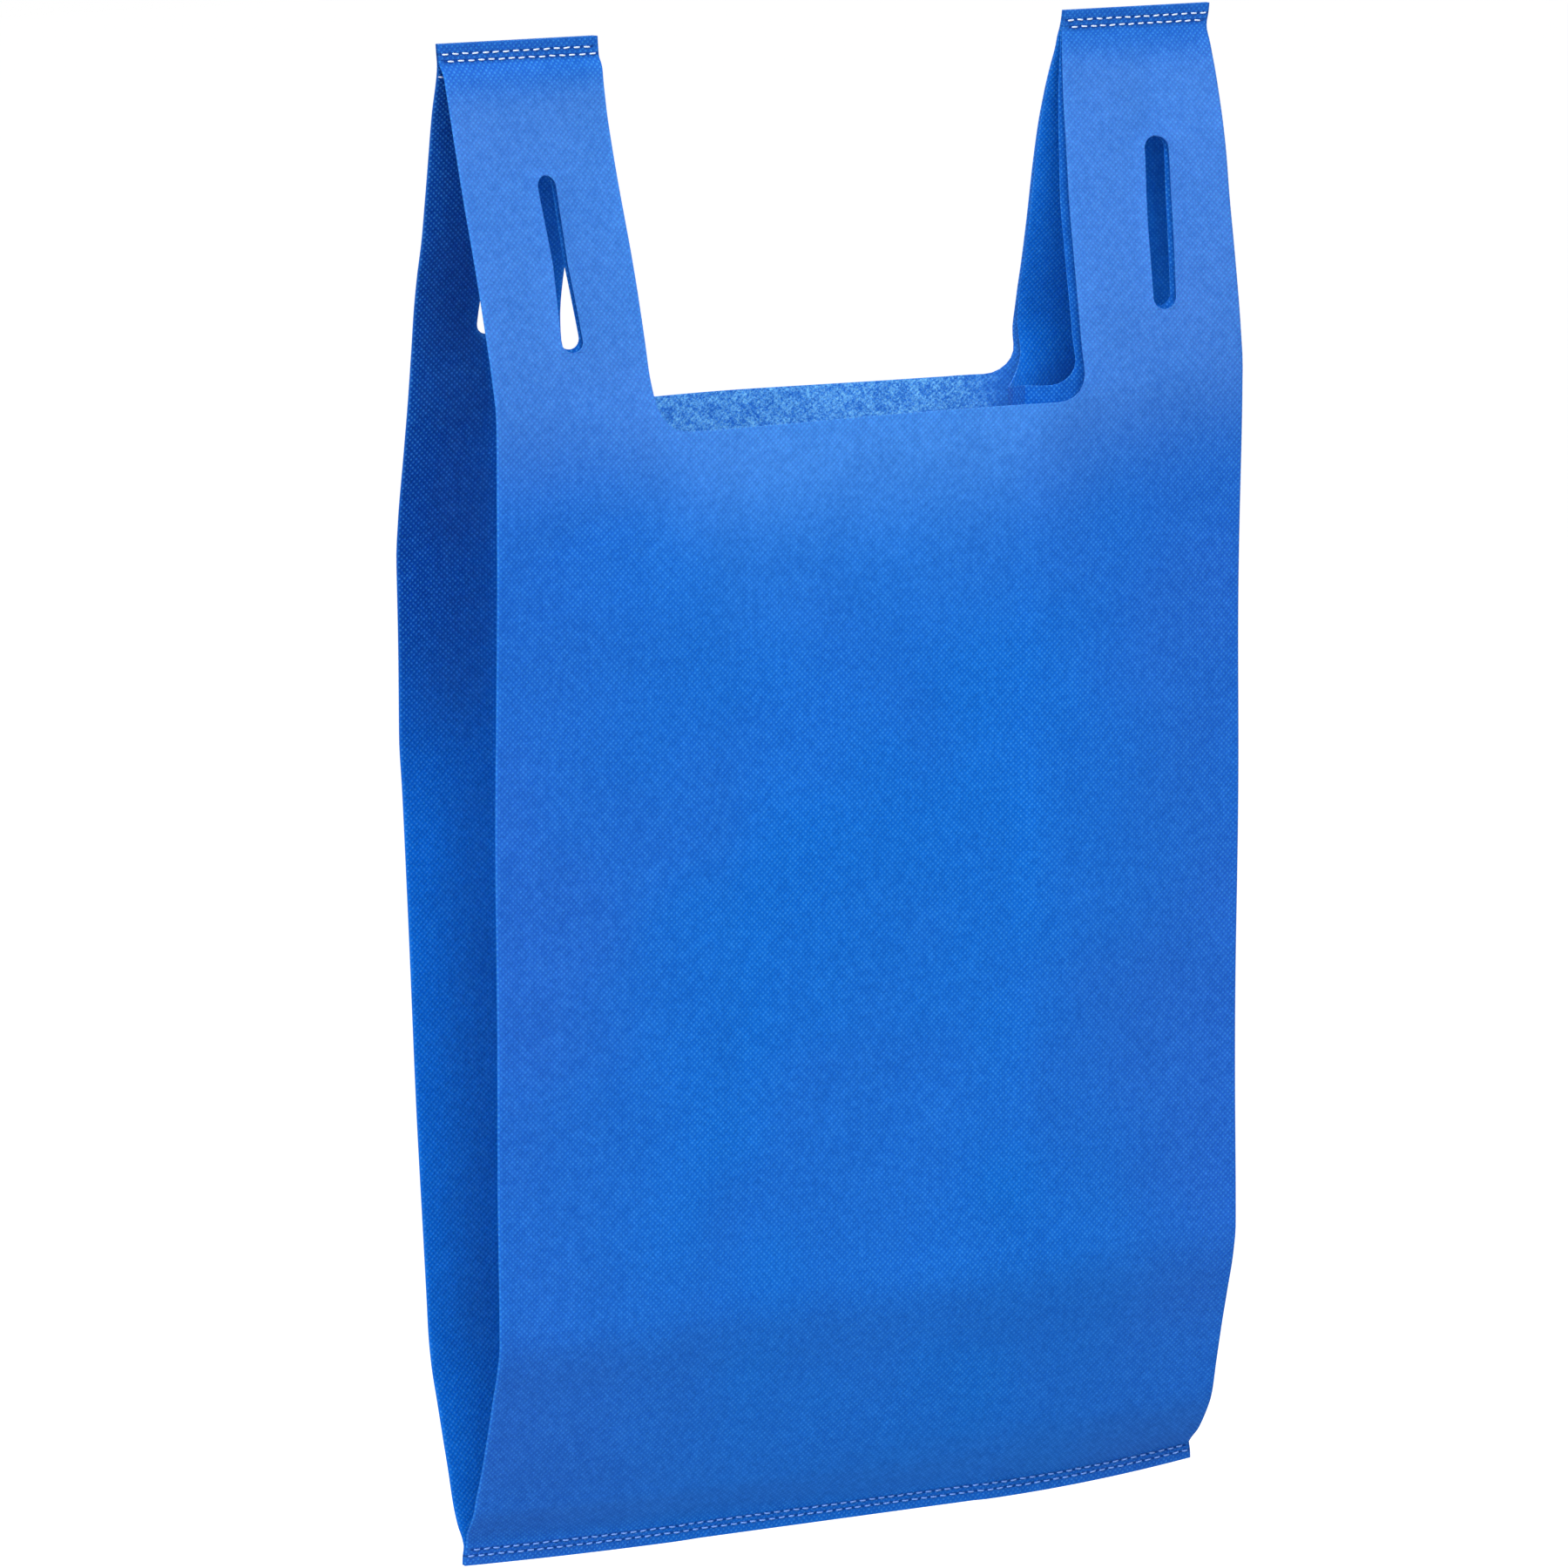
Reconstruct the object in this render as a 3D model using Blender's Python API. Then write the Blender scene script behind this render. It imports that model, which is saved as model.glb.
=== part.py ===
# Non-woven t-shirt bag, opened as it hangs: one gusseted tube of spunbonded fabric, sewn flat across
# the bottom and across the top of each handle. One quarter of the tube is drawn as a flat pattern,
# cut, folded into place, mirrored and given its thickness.
# Metres, +Z up, +X along the front panel, the front panel at -Y, the seams in the plane Y = 0.

import math

import bmesh
import bpy
import numpy as np
from mathutils.geometry import delaunay_2d_cdt

for old in list(bpy.data.objects):
    bpy.data.objects.remove(old, do_unlink=True)

# The tube as cut and laid flat
PANEL_WIDTH = 0.305
GUSSET_HALF = 0.089
CUT_HEIGHT = 0.568
FABRIC = 0.00045
LAYER_GAP = 0.00025

# The die that cuts the neck and the slots through all four layers
HANDLE_WIDTH = 0.064
NECK_DEPTH = 0.1435
NECK_CORNER = 0.012
SLOT_WIDTH = 0.008
SLOT_LENGTH = 0.064
SLOT_BELOW_TOP = 0.051

# Where the layers are sewn together
SEAM_HEIGHT = 0.0075
SEAM_SKIN = 0.00005
RAW_EDGE_TUCK = 0.0003
LAYER_STEP_WIDTH = 0.004

# How far the bag is opened
HALF_DEPTH_LOW = 0.0345
HALF_DEPTH_MOUTH = 0.0385
FLARE_HEIGHT = 0.050
FLARE_POWER = 1.2
FLARE_REACH = 1.7
HANDLE_BOW_POWER = 1.6
HANDLE_LEAN = 0.005
LEAN_POWER = 1.5
CORNER_RISE = 0.0035
RISE_START = 0.060
RISE_FADE = 0.060

# How finely the fabric is divided
PANEL_STEP = 0.040
HANDLE_STEP = 0.017
FLARE_STEP = 0.0125
BODY_STEP = 0.045
FOLD_SEGMENTS = 3
CREASE_SEGMENTS = 2
CORNER_SEGMENTS = 6
SLOT_END_SEGMENTS = 8
SEAM_STATIONS = 6
STEP_STATIONS = 4
MIDDLE_STATIONS = 5
DEPTH_SAMPLES = 400
BEND_SAMPLES = 24
WELD_DISTANCE = 0.000001
LARGEST_TURN = math.radians(88)
SMALLEST_DROP = 0.000001
SHARP_ANGLE = math.radians(40)

FABRIC_BLUE = (0.012, 0.150, 0.640, 1.0)
FABRIC_ROUGHNESS = 0.82

# Worked out from the sizes above
HALF_WIDTH = PANEL_WIDTH / 2
LAYER_PITCH = FABRIC + LAYER_GAP
NECK_EDGE = HALF_WIDTH - HANDLE_WIDTH
NECK_LEVEL = CUT_HEIGHT - NECK_DEPTH
TOP_SEAM = CUT_HEIGHT - SEAM_HEIGHT
FLARE_TOP = SEAM_HEIGHT + FLARE_REACH * FLARE_HEIGHT
FOLD_RADIUS = LAYER_PITCH / 2
FOLD_HALF = math.pi * FOLD_RADIUS / 2
FOLD_IN = HALF_WIDTH - FOLD_HALF
FOLD_OUT = HALF_WIDTH + FOLD_HALF
QUARTER = HALF_WIDTH + GUSSET_HALF
CREASE_IN = QUARTER - FOLD_HALF
GUSSET_INNER = HALF_WIDTH - GUSSET_HALF
SLOT_CENTRE = HALF_WIDTH - HANDLE_WIDTH / 2
SLOT_TOP = CUT_HEIGHT - SLOT_BELOW_TOP
SLOT_BOTTOM = SLOT_TOP - SLOT_LENGTH


def half_depth(v):
    """Half the distance between the front and back folds, at height v of the flat pattern."""
    rise = np.clip(v - SEAM_HEIGHT, 0, None) / FLARE_HEIGHT
    flare = 1 - np.exp(-(rise**FLARE_POWER))
    towards_mouth = np.clip(v / NECK_LEVEL, 0, 1)
    body = (HALF_DEPTH_LOW + (HALF_DEPTH_MOUTH - HALF_DEPTH_LOW) * towards_mouth) * flare
    up_handle = np.clip((v - NECK_LEVEL) / (TOP_SEAM - NECK_LEVEL), 0, 1)
    return body * (1 - up_handle**HANDLE_BOW_POWER)


def standing_height(v):
    """Height above the bottom edge: the fold leans in and out, and its length stays v."""
    steps = np.linspace(0, CUT_HEIGHT, DEPTH_SAMPLES)
    slope = np.gradient(half_depth(steps), steps)
    upright = np.sqrt(1 - slope**2)
    climbed = np.concatenate([[0], np.cumsum((upright[1:] + upright[:-1]) / 2 * np.diff(steps))])
    return np.interp(v, steps, climbed)


def handle_lean(v):
    """How far the handles lean outwards at height v."""
    return HANDLE_LEAN * np.clip((v - NECK_LEVEL) / NECK_DEPTH, 0, 1) ** LEAN_POWER


def corner_rise(x, v):
    """How far the bottom corners are drawn up."""
    outwards = np.clip((np.abs(x) - RISE_START) / (HALF_WIDTH - RISE_START), 0, 1)
    return CORNER_RISE * outwards**2 * np.exp(-v / RISE_FADE)


def panel_layer(x):
    """Distance of a panel's middle surface from the seam plane: beyond the gusset, two layers meet."""
    across = np.clip((np.abs(x) - GUSSET_INNER) / LAYER_STEP_WIDTH + 1, 0, 1)
    return LAYER_PITCH * (0.5 + across**2 * (3 - 2 * across))


def bend(turn, share):
    """Mean cosine and sine of the heading along a curve that turns by turn times share squared."""
    middles = (np.arange(BEND_SAMPLES) + 0.5) / BEND_SAMPLES
    heading = turn[:, None] * (share[:, None] * middles) ** 2
    return np.cos(heading).mean(axis=1) * share, np.sin(heading).mean(axis=1) * share


def gusset_turn(depth):
    """How far a half gusset turns from its fold to its crease, to span the given depth."""
    turns = np.linspace(0, LARGEST_TURN, BEND_SAMPLES)
    spans = bend(turns, np.ones_like(turns))[1] * GUSSET_HALF
    return np.interp(depth, spans, turns)


def fold_place(u, v):
    """Place of a pattern point: u runs from the panel's centre line round to the gusset's crease."""
    depth = half_depth(v)
    turn = gusset_turn(depth)
    gusset_y = -(depth + LAYER_PITCH / 2)

    around = np.clip((u - FOLD_IN) / (FOLD_OUT - FOLD_IN), 0, 1) * math.pi
    share = np.clip((u - FOLD_OUT) / (CREASE_IN - FOLD_OUT), 0, 1)
    run, drop = bend(turn, share)
    full_drop = bend(turn, np.ones_like(turn))[1]
    crease_radius = FOLD_HALF / (math.pi / 2 - turn)
    at_crease = -crease_radius * np.cos(turn)
    dropped = np.where(full_drop > SMALLEST_DROP, drop / np.maximum(full_drop, SMALLEST_DROP), share**3)
    down = gusset_y + (at_crease - gusset_y) * dropped
    last = turn + (math.pi / 2 - turn) * np.clip((u - CREASE_IN) / (QUARTER - CREASE_IN), 0, 1)

    panel_x = np.minimum(u, FOLD_IN)
    panel_y = -(depth + panel_layer(panel_x))
    fold_x = FOLD_IN + FOLD_RADIUS * np.sin(around)
    fold_y = gusset_y - FOLD_RADIUS * (1 + np.cos(around))
    gusset_x = FOLD_IN - (CREASE_IN - FOLD_OUT) * run - crease_radius * (np.sin(last) - np.sin(turn))
    crease_y = down + crease_radius * (np.cos(turn) - np.cos(last))

    x = np.where(u <= FOLD_IN, panel_x, np.where(u < FOLD_OUT, fold_x, gusset_x))
    y = np.where(u <= FOLD_IN, panel_y, np.where(u < FOLD_OUT, fold_y, crease_y))
    z = standing_height(v) + corner_rise(x, v)
    return np.stack([x + handle_lean(v), y, z], axis=1)


def arc(centre, radius, start, end, segments):
    """Points along an arc of the pattern, angles in degrees."""
    angles = np.radians(np.linspace(start, end, segments + 1))
    return [(centre[0] + radius * math.cos(a), centre[1] + radius * math.sin(a)) for a in angles]


def turned_over(point, side):
    """A pattern point, or for side -1 the one that lies on it once the side fold is closed."""
    return point if side > 0 else (PANEL_WIDTH - point[0], point[1])


def corner_outline(side):
    """The neck's rounded corner on the panel (side 1) or, turned over, on the gusset (side -1)."""
    centre = (NECK_EDGE - NECK_CORNER, NECK_LEVEL + NECK_CORNER)
    return [turned_over(p, side) for p in arc(centre, NECK_CORNER, -90, 0, CORNER_SEGMENTS)]


def slot_ends(side):
    """The slot's two round ends on the panel (side 1) or on the gusset (side -1)."""
    radius = SLOT_WIDTH / 2
    upper = arc((SLOT_CENTRE, SLOT_TOP - radius), radius, 0, 180, SLOT_END_SEGMENTS)
    lower = arc((SLOT_CENTRE, SLOT_BOTTOM + radius), radius, 180, 360, SLOT_END_SEGMENTS)
    return [[turned_over(p, side) for p in end] for end in (upper, lower)]


def inside_cut(x, y):
    """Whether a pattern point lies in the neck or in a slot."""
    across = np.minimum(x, PANEL_WIDTH - x)
    radius = SLOT_WIDTH / 2
    nearest = np.clip(y, SLOT_BOTTOM + radius, SLOT_TOP - radius)
    in_slot = np.hypot(across - SLOT_CENTRE, y - nearest) < radius * math.cos(
        math.pi / 2 / SLOT_END_SEGMENTS
    )
    past_corner = np.hypot(
        np.maximum(across - (NECK_EDGE - NECK_CORNER), 0),
        np.maximum(NECK_LEVEL + NECK_CORNER - y, 0),
    )
    in_neck = (across < NECK_EDGE) & (y > NECK_LEVEL) & (past_corner < NECK_CORNER)
    return in_slot | in_neck


def divided(stops, longest):
    """The stops with even steps between them, none longer than longest."""
    line = [stops[0]]
    for start, end in zip(stops[:-1], stops[1:]):
        line += list(np.linspace(start, end, math.ceil((end - start) / longest) + 1)[1:])
    return np.array(line)


def pattern_columns():
    """Lines of the pattern that run up the bag, from the panel's centre to the gusset's crease."""
    slot = [SLOT_CENTRE - SLOT_WIDTH / 2, SLOT_CENTRE + SLOT_WIDTH / 2]
    cuts = np.array([NECK_EDGE - NECK_CORNER, NECK_EDGE, *slot, FOLD_IN])
    flat = divided([0, cuts[0]], PANEL_STEP)
    handle = divided(cuts, HANDLE_STEP)
    return np.concatenate(
        [
            flat[:-1],
            handle,
            np.linspace(FOLD_IN, FOLD_OUT, FOLD_SEGMENTS + 1)[1:-1],
            PANEL_WIDTH - handle[handle >= NECK_EDGE - NECK_CORNER][::-1],
            np.linspace(CREASE_IN, QUARTER, CREASE_SEGMENTS + 1),
        ]
    )


def pattern_rows():
    """Lines of the pattern that run across the bag, from the bottom edge to the top."""
    flare = divided([SEAM_HEIGHT, FLARE_TOP], FLARE_STEP)
    body = divided([FLARE_TOP, NECK_LEVEL, NECK_LEVEL + NECK_CORNER], BODY_STEP)
    slot = [SLOT_BOTTOM + SLOT_WIDTH / 2, SLOT_TOP - SLOT_WIDTH / 2]
    handle = divided([NECK_LEVEL + NECK_CORNER, *slot, TOP_SEAM], HANDLE_STEP)
    bottom, top = [RAW_EDGE_TUCK], [CUT_HEIGHT - RAW_EDGE_TUCK]
    return np.concatenate([bottom, flare, body[1:], handle[1:], top])


def cut_pattern():
    """The flat quarter as triangles: a grid with the neck's corners and the slots' ends drawn in it."""
    columns, rows = pattern_columns(), pattern_rows()
    across, up = len(columns), len(rows)
    points = [(c, r) for r in rows for c in columns]
    edges = [(j * across + i, j * across + i + 1) for j in range(up) for i in range(across - 1)]
    edges += [(j * across + i, (j + 1) * across + i) for j in range(up - 1) for i in range(across)]
    for side in (1, -1):
        for line in (corner_outline(side), *slot_ends(side)):
            edges += [(len(points) + i, len(points) + i + 1) for i in range(len(line) - 1)]
            points += line
    flat, _, faces, *_ = delaunay_2d_cdt(points, edges, [], 0, WELD_DISTANCE)
    flat = np.array([tuple(p) for p in flat])
    faces = np.array([f for f in faces if len(f) == 3])
    centre = flat[faces].mean(axis=1)
    faces = faces[~inside_cut(centre[:, 0], centre[:, 1])]
    used, faces = np.unique(faces, return_inverse=True)
    return flat[used], faces.reshape(-1, 3)


def new_object(name, points, faces):
    """A mesh object from points and faces."""
    mesh = bpy.data.meshes.new(name)
    mesh.from_pydata([tuple(p) for p in points], [], [tuple(f) for f in faces])
    obj = bpy.data.objects.new(name, mesh)
    bpy.context.scene.collection.objects.link(obj)
    return obj


def fabric_quarter():
    """The folded quarter: front, right, up to the gusset's crease."""
    flat, faces = cut_pattern()
    return new_object("bag", fold_place(flat[:, 0], flat[:, 1]), faces.tolist())


def sewn_band(name, stations, low, high):
    """The stacked layers of a seam, fused: a thin strip along the stations, from low to high."""
    x = np.asarray(stations)
    half = panel_layer(x) + FABRIC / 2 + SEAM_SKIN
    rings = []
    for v, side in ((low, -1), (high, -1), (high, 1), (low, 1)):
        level = np.full_like(x, v)
        z = standing_height(level) + corner_rise(x, level)
        rings.append(np.stack([x + np.sign(x) * handle_lean(level), side * half, z], axis=1))
    count = len(x)
    points = np.concatenate(rings)
    faces = []
    for ring in range(4):
        here, there = ring * count, (ring + 1) % 4 * count
        faces += [(here + i, here + i + 1, there + i + 1, there + i) for i in range(count - 1)]
    faces.append(tuple(ring * count + count - 1 for ring in range(4)))
    faces.append(tuple(ring * count for ring in (3, 2, 1, 0)))
    band = new_object(name, points, faces)
    work = bmesh.new()
    work.from_mesh(band.data)
    bmesh.ops.recalc_face_normals(work, faces=work.faces)
    work.to_mesh(band.data)
    work.free()
    band.hide_render = True
    band.display_type = "WIRE"
    return band


def fold_edge():
    """The outermost x of the fabric at its side folds, at the middle of its thickness."""
    return FOLD_IN + FOLD_RADIUS + FABRIC / 2 + SEAM_SKIN


def bottom_stations():
    """Places along the bottom seam, with the steps from four layers to two."""
    half = np.concatenate(
        [
            np.linspace(0, GUSSET_INNER - LAYER_STEP_WIDTH, MIDDLE_STATIONS),
            np.linspace(GUSSET_INNER - LAYER_STEP_WIDTH, GUSSET_INNER, STEP_STATIONS)[1:],
            np.linspace(GUSSET_INNER, fold_edge(), SEAM_STATIONS)[1:],
        ]
    )
    return np.concatenate([-half[:0:-1], half])


def handle_stations():
    """Places along the right handle's top seam."""
    return np.linspace(NECK_EDGE - SEAM_SKIN, fold_edge(), SEAM_STATIONS)


def fabric_material():
    """Spunbonded polypropylene, dyed royal blue."""
    material = bpy.data.materials.new("blue_spunbond")
    material.use_nodes = True
    shader = material.node_tree.nodes["Principled BSDF"]
    shader.inputs["Base Color"].default_value = FABRIC_BLUE
    shader.inputs["Roughness"].default_value = FABRIC_ROUGHNESS
    shader.inputs["Metallic"].default_value = 0.0
    return material


def build_bag():
    """The whole bag: the quarter mirrored, thickened and sewn along its seams."""
    bag = fabric_quarter()
    mirror = bag.modifiers.new("other_quarters", "MIRROR")
    mirror.use_axis = (True, True, False)
    mirror.merge_threshold = WELD_DISTANCE
    thicken = bag.modifiers.new("fabric_thickness", "SOLIDIFY")
    thicken.thickness = FABRIC
    thicken.offset = 0
    thicken.use_even_offset = True
    thicken.use_rim = True
    seams = [
        sewn_band("bottom_seam", bottom_stations(), 0, SEAM_HEIGHT - RAW_EDGE_TUCK),
        sewn_band("right_handle_seam", handle_stations(), TOP_SEAM + RAW_EDGE_TUCK, CUT_HEIGHT),
        sewn_band("left_handle_seam", -handle_stations()[::-1], TOP_SEAM + RAW_EDGE_TUCK, CUT_HEIGHT),
    ]
    for seam in seams:
        join = bag.modifiers.new("sewn_" + seam.name, "BOOLEAN")
        join.operation = "UNION"
        join.solver = "EXACT"
        join.object = seam
    bag.data.materials.append(fabric_material())
    bag.data.shade_smooth()
    bag.data.set_sharp_from_angle(angle=SHARP_ANGLE)
    return bag


build_bag()
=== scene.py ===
import math

import bmesh
import bpy
import numpy as np
from mathutils import Matrix, Vector


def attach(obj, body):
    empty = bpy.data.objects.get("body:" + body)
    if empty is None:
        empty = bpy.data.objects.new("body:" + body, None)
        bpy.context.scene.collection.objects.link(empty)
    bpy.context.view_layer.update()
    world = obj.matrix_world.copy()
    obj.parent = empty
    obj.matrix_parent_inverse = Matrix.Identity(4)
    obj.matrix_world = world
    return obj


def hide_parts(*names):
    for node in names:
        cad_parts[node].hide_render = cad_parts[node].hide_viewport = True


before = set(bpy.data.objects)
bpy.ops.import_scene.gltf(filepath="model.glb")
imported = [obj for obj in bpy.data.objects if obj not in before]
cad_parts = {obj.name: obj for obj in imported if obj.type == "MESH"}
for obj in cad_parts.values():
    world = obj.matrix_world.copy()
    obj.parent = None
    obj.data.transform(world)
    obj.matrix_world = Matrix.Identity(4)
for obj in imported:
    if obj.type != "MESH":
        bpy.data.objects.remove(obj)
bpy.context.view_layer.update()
scene = bpy.context.scene
print("frame loaded:", sorted(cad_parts))

millimetre = 0.001

# camera: found by fitting the outline of the bag, so the numbers are those of the fit
lens = {
    "aim": (0.0, 0.0, 0.280),
    "distance": 3.4898,
    "yaw": 28.238,
    "pitch": 10.077,
    "roll": -0.111,
    "focalPixels": 10971.7,
    "centrePixels": (955.19, 889.20),
    "imagePixels": 1800,
    "sensor": 36.0,
}


# the view axis turned by yaw and pitch, then the frame turned about it by roll
def addCamera():
    yaw, pitch, roll = (math.radians(lens[k]) for k in ("yaw", "pitch", "roll"))
    ahead = np.array(
        [math.sin(yaw) * math.cos(pitch), math.cos(yaw) * math.cos(pitch), -math.sin(pitch)]
    )
    level = np.array([math.cos(yaw), -math.sin(yaw), 0.0])
    upright = np.cross(level, ahead)
    right = level * math.cos(roll) + upright * math.sin(roll)
    up = upright * math.cos(roll) - level * math.sin(roll)
    data = bpy.data.cameras.new("camera")
    camera = bpy.data.objects.new("camera", data)
    place = Matrix.Identity(4)
    for row in range(3):
        place[row][0], place[row][1], place[row][2] = right[row], up[row], -ahead[row]
        place[row][3] = lens["aim"][row] - lens["distance"] * ahead[row]
    camera.matrix_world = place
    pixels = lens["imagePixels"]
    data.sensor_width = lens["sensor"]
    data.lens = lens["focalPixels"] / pixels * lens["sensor"]
    data.shift_x = (pixels / 2 - lens["centrePixels"][0]) / pixels
    data.shift_y = (lens["centrePixels"][1] - pixels / 2) / pixels
    data.clip_start, data.clip_end = 0.1, 60
    scene.collection.objects.link(camera)
    scene.camera = camera


addCamera()
print("camera set")

# the tube of fabric as it was cut, laid flat
cut = {
    "panelWidth": 0.305,
    "gussetHalf": 0.089,
    "height": 0.568,
    "thickness": 0.00045,
    "layerPitch": 0.0007,
    "neckDepth": 0.1435,
    "neckCorner": 0.012,
    "slotEnd": 0.0045,
    "slotLength": 0.064,
    "slotBelowTop": 0.051,
    # widths of a slot at its lower end, middle and upper end
    "slotWidths": {-1: (0.0094, 0.0062, 0.0078), 1: (0.0094, 0.0105, 0.0098)},
    "slotWarp": 0.016,
    "slotLip": 0.0006,
    "slotLipReach": 0.0022,
    "stripWidth": {(-1, -1): 0.0630, (1, -1): 0.0668, (-1, 1): 0.0625, (1, 1): 0.0668},
    "slotFromFold": {-1: 0.0335, 1: 0.0300},
    "slotRaise": {(-1, -1): 0.0012, (-1, 1): 0.0, (1, -1): 0.0024, (1, 1): 0.0024},
    # how far the lower and upper end of each slot lie nearer to the fold
    "slotSkew": {
        (-1, -1): (-0.0003, -0.0004), (-1, 1): (0.0022, 0.0008),
        (1, -1): (-0.0014, 0.0018), (1, 1): (-0.0014, 0.0018),
    },
    # how much narrower the right handle's strips are, in mm, at heights of the pattern in mm
    "stripTaper": {
        -1: ((0, 0), (600, 0)),
        1: ((0, 0), (455, 0), (489, 0.6), (514, 1.6), (536, 2.9), (568, 5.6), (600, 6)),
    },
    "layerStep": 0.004,
    "area": 0.479,
}
halfWidth = cut["panelWidth"] / 2
quarterWidth = halfWidth + cut["gussetHalf"]
backMiddle = cut["panelWidth"] + 2 * cut["gussetHalf"]
neckLevel = cut["height"] - cut["neckDepth"]
cornerTop = neckLevel + cut["neckCorner"]
# heights between which the pattern's rows are bent for the neck and the slots
belowNeck = neckLevel - 0.030
belowSeam = cut["height"] - 0.026
slotTop = cut["height"] - cut["slotBelowTop"]
slotBottom = slotTop - cut["slotLength"]
foldRadius = cut["layerPitch"] / 2
foldHalf = math.pi * foldRadius / 2
foldIn, foldOut = halfWidth - foldHalf, halfWidth + foldHalf

# how far each fold stands from the seam plane, in mm, at heights in mm
openness = {
    (-1, -1): (
        (0, 0), (6.5, 0.3), (10.6, 1.6), (14.7, 4.6), (20.8, 9.0), (27, 11.4), (37, 15.8), (48, 19.7),
        (58, 23.0), (69, 26.4), (79, 30.0), (90, 32.2), (105, 32.4), (150, 32.2), (240, 32.2),
        (330, 32.6), (380, 33.4),
        (426, 34.4), (435, 32.8), (459, 26.6), (480, 20.6), (501, 14.4), (519, 10.1), (537, 6.0),
        (544, 4.0), (548, 0.8), (555, 0),
    ),
    (1, -1): (
        (0, 0), (6, 0.4), (8.8, 2.6), (13.2, 6.3), (26, 14.6), (30, 16.5), (45, 20.2), (60, 23.9),
        (74, 27.6), (89, 31.5), (101, 33.2), (150, 32.8), (240, 33.2), (330, 34.2), (400, 34.7),
        (424, 34.4),
        (437, 32.6), (462, 27.4), (487, 21.2), (500, 18.3), (512, 14.8), (521, 11.5), (531, 7.4),
        (538, 4.0), (545, 1.4), (549, 0.6), (555, 0),
    ),
    (-1, 1): (
        (0, 0), (6, 0.5), (8.6, 1.9), (11.6, 3.0), (20.8, 7.4), (33, 11.5), (45, 16.3), (57, 21.1),
        (69, 25.9), (82, 28.8), (95, 30.0), (104, 30.8), (150, 34.2), (200, 37.9), (250, 42.4),
        (280, 45.2), (300, 47.3),
        (340, 46.9), (364, 47.0), (378, 45.2), (404, 39.8), (430, 35.1), (443, 32.8), (456, 30.5),
        (469, 27.0), (482, 22.2), (495, 18.2), (517, 11.2), (530, 6.9), (543, 1.8), (549, 0.6),
        (555, 0),
    ),
    (1, 1): (
        (0, 0), (6, 0.5), (9, 2.2), (14, 5.4), (26, 12.0), (45, 18.2), (62, 23.6), (78, 28.0),
        (92, 30.6), (104, 31.4), (150, 31.6), (200, 31.0), (250, 29.0), (340, 24.0), (400, 19.4),
        (429, 17.5), (449, 13.8), (462, 11.0), (475, 9.4), (488, 8.6), (501, 8.1), (514, 7.2),
        (523, 6.0), (534, 4.2), (543, 2.0), (549, 0.6), (555, 0),
    ),
}
# how far a strip's inner edge stands out from its fold, in mm, at heights in mm
stripTilt = {
    (-1, -1): (
        (0, 0), (418, 0), (432, -1.6), (440, -2.0), (470, -2.0), (525, -3.0), (538, -1.8),
        (549, 0), (560, 0),
    ),
    (1, -1): (
        (0, 0), (418, 0), (430, -2.4), (453, -2.6), (500, -2.6), (525, -2.4), (538, -1.4),
        (549, 0), (560, 0),
    ),
    (-1, 1): (
        (0, 0), (422, 0), (432, 7.0), (440, 12.6), (452, 14.4), (462, 14.0), (475, 12.6),
        (488, 9.4), (505, 5.4), (530, 2.2), (549, 0), (560, 0),
    ),
    (1, 1): ((0, 0), (418, 0), (440, -0.4), (549, 0), (560, 0)),
}
# how the bag stands open: the folds' and the gusset's behaviour from the bottom to the handles
standing = {
    "height": 0.555,
    "lean": 0.0052,
    "leanPower": 1.5,
    "riseLeft": 0.0017,
    "riseRight": 0.0054,
    "riseFrom": 0.060,
    "riseFade": 0.060,
    "pinch": 0.0009,
    "pinchReach": 0.0045,
    # low bows of the mouth's edge: face, centre, half width, height
    "mouthBows": (
        (-1, -0.068, 0.070, 0.0034),
        (-1, 0.062, 0.045, 0.0017),
        (1, -0.030, 0.062, 0.0105),
        (1, 0.095, 0.035, -0.0055),
    ),
    # how much higher the back's edge lies in the mouth: all of it, and more to the right
    "backHigher": 0.0008,
    "backHigherRight": 0.0028,
    "creaseLift": 0.0043,
    "creasePower": {(-1, -1): 2.3, (-1, 1): 2.3, (1, -1): 1.2, (1, 1): 2.4},
    "creaseForward": {-1: 0.0, 1: 0.0115},
    # most of its width that a half gusset spans from front to back
    "mostSpan": 0.60,
    # gap between the panel's and the gusset's layer at a strip's inner edge, low and high up
    "stripGap": {
        (-1, -1): (0.0036, 0.0032), (-1, 1): (0.0034, 0.0034),
        (1, -1): (0.0066, 0.0062), (1, 1): (0.0040, 0.0013),
    },
    # where above the neck this gap goes from the low to the high one, and over what height, and
    # how far apart the folds are where it is full
    "gapFrom": 0.006,
    "gapRise": 0.030,
    "gapFull": 0.030,
    # height over which a gusset's strip leaves its curve to hang flat, and how far past the strip
    "hangStart": 0.012,
    "hangRise": 0.026,
    "hangFade": 0.25,
    # the right gusset is blunt in the mouth: where this starts and over what height it grows, the
    # share of the back half that lies on the panel and the share over which it comes away, the
    # share where the nose starts, how far it runs from front to back, and how far in it reaches
    "bluntFrom": 0.25,
    "bluntRise": 0.13,
    "flatShare": 0.36,
    "flatFade": 0.40,
    "noseShare": 0.88,
    "noseDepth": 0.0115,
    "noseReach": 0.940,
    # bells on the cut edge's rise: height as a share of creaseLift, centre, half width
    "noseDip": (-0.45, 0.86, 0.07),
    "frontSwell": (0.40, 0.76, 0.13),
    "wave": 0.0007,
}
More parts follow.
